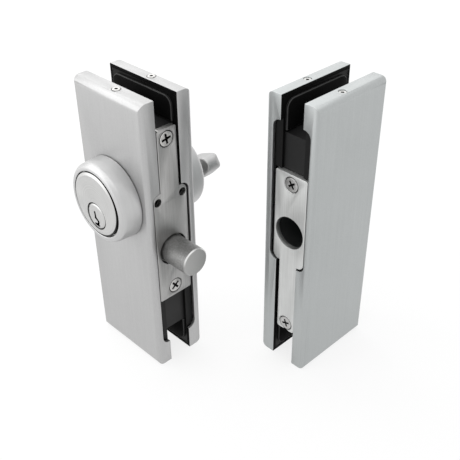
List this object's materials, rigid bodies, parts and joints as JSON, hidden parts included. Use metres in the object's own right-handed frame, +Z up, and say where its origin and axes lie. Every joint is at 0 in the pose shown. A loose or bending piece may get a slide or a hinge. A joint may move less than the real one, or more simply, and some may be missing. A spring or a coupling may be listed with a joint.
{
  "type": "glass door patch lock",
  "caption": "Patch lock for a frameless glass door with a round dead bolt, key cylinder and thumb turn, and its matching strike box.",
  "frame": {"origin": "middle of the whole set's outline in plan, at the level of the housings' bottom edges", "axes": "+Z up along the housings, +X the way the lock's bolt comes out, -Y the side with the lock's key cylinder and the strike's hole"},
  "size_m": [0.1138, 0.1216, 0.1653],
  "materials": {
    "satin_cover": "satin anodised",
    "satin_collar": "satin",
    "satin_cylinder": "satin nickel",
    "edge_plate": "brushed along its length",
    "bolt_steel": "dull plated",
    "screw_steel": "plated",
    "pin_brass": "machined",
    "black_casting": "black coated",
    "pad_rubber": "matt",
    "black_plastic": "matt"
  },
  "bodies": {
    "housings": {"front_cover": "satin_cover", "back_cover": "satin_cover", "cover_screws": "screw_steel", "front_clamp_plate": "black_casting", "back_clamp_plate": "black_casting", "front_pad": "pad_rubber", "back_pad": "pad_rubber", "clamp_screws": "screw_steel", "clamp_nuts": "screw_steel", "lock_case": "black_casting", "lock_plate": "edge_plate", "lock_plate_screws": "screw_steel", "set_screws": "screw_steel", "cylinder_collar": "satin_collar", "cylinder_shell": "satin_cylinder", "driver_pins": "pin_brass", "pin_springs": "screw_steel", "turn_collar": "satin_collar", "turn_housing": "satin_cylinder", "strike_front_cover": "satin_cover", "strike_back_cover": "satin_cover", "strike_cover_screws": "screw_steel", "strike_front_clamp_plate": "black_casting", "strike_back_clamp_plate": "black_casting", "strike_front_pad": "pad_rubber", "strike_back_pad": "pad_rubber", "strike_clamp_screws": "screw_steel", "strike_clamp_nuts": "screw_steel", "strike_case": "black_casting", "bolt_cup": "black_plastic", "strike_plate": "edge_plate", "strike_plate_screws": "screw_steel"},
    "bolt_group": {"bolt": "bolt_steel", "bolt_tail": "bolt_steel", "tail_screw": "screw_steel"},
    "key_group": {"cylinder_plug": "satin_cylinder", "key_pins": "pin_brass", "cylinder_cam": "pin_brass", "cam_screws": "screw_steel"},
    "turn_group": {"turn_spindle": "satin_cylinder", "thumb_turn": "satin_collar", "turn_pin": "screw_steel", "turn_cam": "pin_brass", "turn_cam_screws": "screw_steel"}
  },
  "joints": [
    {"name": "bolt_throw", "type": "slide", "parent": "housings", "child": "bolt_group", "axis": [1, 0, 0], "range_m": [-0.0175, 0]},
    {"name": "key_turn", "type": "hinge", "parent": "housings", "child": "key_group", "pos_m": [-0.03065, -0.03155, 0.0989], "axis": [0, 1, 0], "range_deg": [0, 58.17]},
    {"name": "thumb_turn", "type": "hinge", "parent": "housings", "child": "turn_group", "pos_m": [-0.03065, -0.03155, 0.0989], "axis": [0, 1, 0], "range_deg": [0, 58.17]}
  ],
  "couplings": [
    {"joint": "key_turn", "follows": "bolt_throw", "rad_per_m": -58.016},
    {"joint": "thumb_turn", "follows": "bolt_throw", "rad_per_m": -58.016}
  ]
}
